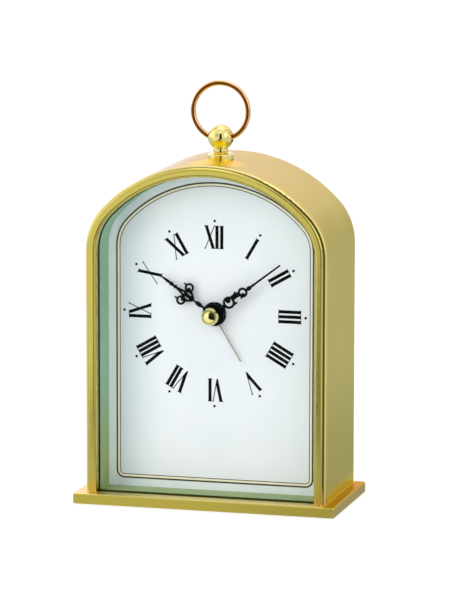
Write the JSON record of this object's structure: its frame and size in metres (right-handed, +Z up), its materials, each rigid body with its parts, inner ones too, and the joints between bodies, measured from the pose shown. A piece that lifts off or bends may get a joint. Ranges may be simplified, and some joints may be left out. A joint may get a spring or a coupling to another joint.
{
  "type": "desk alarm clock",
  "caption": "Arched gold-tone desk alarm clock on a flat base, with a deep-set Roman dial, ornate hands, a ball finial and a ring handle.",
  "frame": {"origin": "centre of the clock's underside, on the surface it stands on", "axes": "+Z up, the dial faces -Y, +X to the right of the dial seen from the front"},
  "size_m": [0.12, 0.06, 0.1888],
  "materials": {
    "base_gold": "satin gold-tone plated plate",
    "case_gold": "fine brushed gold-tone sheet",
    "bezel_gold": "satin gold-tone moulding",
    "polished_gold": "polished gold-tone",
    "ring_gold": "polished gold-tone wire",
    "felt": "pressed felt",
    "steel": "zinc plated",
    "clear_glass": "flat polished pane",
    "gasket": "matt",
    "surround": "smooth pale lining",
    "dial_white": "satin white enamel",
    "print_black": "printed ink",
    "print_olive": "printed ink",
    "print_cream": "printed ink",
    "hand_black": "black lacquer",
    "hand_tan": "tan lacquer",
    "frame_plastic": "moulded",
    "cover_plastic": "fine textured moulding",
    "movement_plastic": "moulded",
    "gear_plastic": "moulded acetal",
    "winding": "enamelled copper wire",
    "board": "laminate",
    "magnet": "sintered",
    "battery_skin": "plain printed sleeve"
  },
  "bodies": {
    "case": {"base_plate": "base_gold", "base_felt": "felt", "base_screws": "steel", "case_shell": "case_gold", "front_bezel": "bezel_gold", "glass_pane": "clear_glass", "glass_gasket": "gasket", "dial_surround": "surround", "dial_plate": "dial_white", "dial_border_lines": "print_olive", "dial_border_band": "print_cream", "hour_numerals": "print_black", "inner_frame": "frame_plastic", "movement_front_case": "movement_plastic", "movement_nut": "hand_black", "train_plate": "gear_plastic", "movement_rear_case": "movement_plastic", "stator_core": "steel", "coil_winding": "winding", "circuit_board": "board", "quartz_crystal": "steel", "buzzer": "polished_gold", "battery_cell": "battery_skin", "battery_contact_positive": "steel", "battery_contact_negative": "steel", "rear_cover": "cover_plastic", "rear_cover_screws": "steel", "finial": "polished_gold", "finial_washer": "steel", "finial_nut": "steel"},
    "minute_group": {"minute_hand": "hand_black", "hand_cap": "polished_gold", "minute_arbor": "steel", "centre_wheel": "gear_plastic"},
    "hour_group": {"hour_hand": "hand_black", "hour_wheel": "gear_plastic"},
    "motion_group": {"motion_wheel": "gear_plastic", "time_set_knob": "cover_plastic"},
    "third_group": {"third_wheel": "gear_plastic"},
    "rotor_group": {"rotor": "magnet"},
    "alarm_group": {"alarm_hand": "hand_tan", "alarm_wheel": "gear_plastic"},
    "alarm_setter": {"alarm_set_arbor": "gear_plastic", "alarm_set_knob": "cover_plastic"},
    "switch_slider": {"alarm_switch": "cover_plastic"},
    "door": {"battery_door": "cover_plastic"},
    "ring": {"ring_handle": "ring_gold"}
  },
  "joints": [
    {"name": "minute_turn", "type": "hinge", "parent": "case", "child": "minute_group", "pos_m": [0, -0.0094, 0.0856], "axis": [0, 1, 0], "continuous": true},
    {"name": "hour_turn", "type": "hinge", "parent": "case", "child": "hour_group", "pos_m": [0, -0.0094, 0.0856], "axis": [0, 1, 0], "continuous": true},
    {"name": "time_set_turn", "type": "hinge", "parent": "case", "child": "motion_group", "pos_m": [0.00902, -0.0094, 0.08232], "axis": [0, 1, 0], "continuous": true},
    {"name": "third_turn", "type": "hinge", "parent": "case", "child": "third_group", "pos_m": [0, -0.0094, 0.0946], "axis": [0, 1, 0], "continuous": true},
    {"name": "rotor_turn", "type": "hinge", "parent": "case", "child": "rotor_group", "pos_m": [0.00799, -0.0094, 0.09751], "axis": [0, 1, 0], "continuous": true},
    {"name": "alarm_set_turn", "type": "hinge", "parent": "case", "child": "alarm_setter", "pos_m": [-0.0094, -0.0094, 0.08218], "axis": [0, 1, 0], "continuous": true},
    {"name": "alarm_hand_turn", "type": "hinge", "parent": "case", "child": "alarm_group", "pos_m": [0, -0.0094, 0.0856], "axis": [0, 1, 0], "continuous": true},
    {"name": "alarm_switch_slide", "type": "slide", "parent": "case", "child": "switch_slider", "axis": [1, 0, 0], "range_m": [0, 0.004]},
    {"name": "battery_door_hinge", "type": "hinge", "parent": "case", "child": "door", "pos_m": [0, 0.0263, 0.0476], "axis": [-1, 0, 0], "range_deg": [0, 95]},
    {"name": "ring_swing", "type": "hinge", "parent": "case", "child": "ring", "pos_m": [0, 0.00035, 0.16322], "axis": [1, 0, 0], "range_deg": [-105, 105]}
  ],
  "couplings": [
    {"joint": "hour_turn", "follows": "minute_turn", "ratio": 0.083333},
    {"joint": "time_set_turn", "follows": "minute_turn", "ratio": -0.33333},
    {"joint": "third_turn", "follows": "minute_turn", "ratio": -8},
    {"joint": "rotor_turn", "follows": "minute_turn", "ratio": 60},
    {"joint": "alarm_hand_turn", "follows": "alarm_set_turn", "ratio": -0.25}
  ]
}
